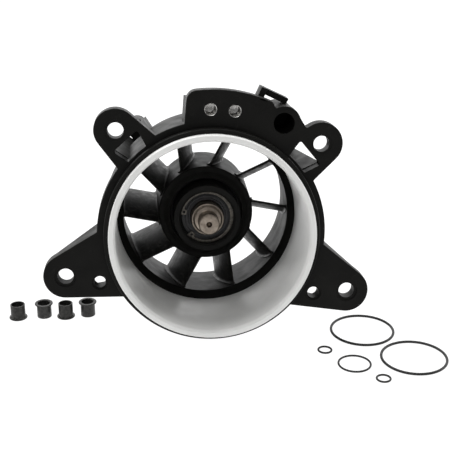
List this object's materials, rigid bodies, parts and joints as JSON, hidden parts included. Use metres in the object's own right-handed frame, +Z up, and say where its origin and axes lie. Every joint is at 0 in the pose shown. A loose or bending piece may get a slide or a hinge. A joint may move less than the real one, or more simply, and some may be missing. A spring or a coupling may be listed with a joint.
{
  "type": "jet pump stator housing",
  "caption": "Axial jet pump housing with wear ring, vaned stator, bearing hub, impeller shaft stub and mounting ears, with its loose bushes and seal rings.",
  "frame": {"origin": "on the pump axis, in the plane of the four ears' front faces, where the pump seats", "axes": "+Y along the pump axis towards the nozzle end (water flows along +Y), +X to the right seen from the intake, +Z up towards the top bracket"},
  "size_m": [0.3286, 0.1862, 0.2024],
  "materials": {
    "housing_polymer": "satin moulded",
    "wear_ring_polymer": "smooth",
    "insert_steel": "machined",
    "bush_black": "black oxide",
    "ring_rubber": "satin",
    "seal_rubber": "satin",
    "shaft_steel": "turned, slightly brown",
    "spring_steel": "satin",
    "cage_steel": "pressed",
    "bearing_steel": "ground"
  },
  "bodies": {
    "pump_body": {"pump_housing": "housing_polymer", "stator_vanes": "housing_polymer", "stator_hub": "housing_polymer", "wear_ring": "wear_ring_polymer", "bracket_inserts": "insert_steel", "nozzle_inserts": "insert_steel", "cone_inserts": "insert_steel", "front_bearing_outer": "bearing_steel", "rear_bearing_outer": "bearing_steel", "bearing_circlip": "spring_steel", "seal_case": "seal_rubber", "seal_lip": "seal_rubber", "seal_spring": "spring_steel", "seal_circlip": "spring_steel", "mount_bush_1": "bush_black", "mount_bush_2": "bush_black", "mount_bush_3": "bush_black", "mount_bush_4": "bush_black", "large_seal_ring_1": "ring_rubber", "large_seal_ring_2": "ring_rubber", "medium_seal_ring": "ring_rubber", "small_seal_ring_1": "ring_rubber", "small_seal_ring_2": "ring_rubber"},
    "shaft": {"impeller_shaft": "shaft_steel", "shaft_nut": "spring_steel", "nut_washer": "spring_steel", "bearing_spacer": "bearing_steel", "front_bearing_inner": "bearing_steel", "rear_bearing_inner": "bearing_steel"},
    "front_cage": {"front_bearing_balls": "bearing_steel", "front_bearing_cage": "cage_steel"},
    "rear_cage": {"rear_bearing_balls": "bearing_steel", "rear_bearing_cage": "cage_steel"}
  },
  "joints": [
    {"name": "shaft_spin", "type": "hinge", "parent": "pump_body", "child": "shaft", "pos_m": [0, 0.08, 0], "axis": [0, 1, 0], "continuous": true},
    {"name": "front_cage_spin", "type": "hinge", "parent": "pump_body", "child": "front_cage", "pos_m": [0, 0.0775, 0], "axis": [0, 1, 0], "continuous": true},
    {"name": "rear_cage_spin", "type": "hinge", "parent": "pump_body", "child": "rear_cage", "pos_m": [0, 0.1035, 0], "axis": [0, 1, 0], "continuous": true}
  ],
  "couplings": [
    {"joint": "front_cage_spin", "follows": "shaft_spin", "ratio": 0.39688},
    {"joint": "rear_cage_spin", "follows": "shaft_spin", "ratio": 0.39688}
  ]
}
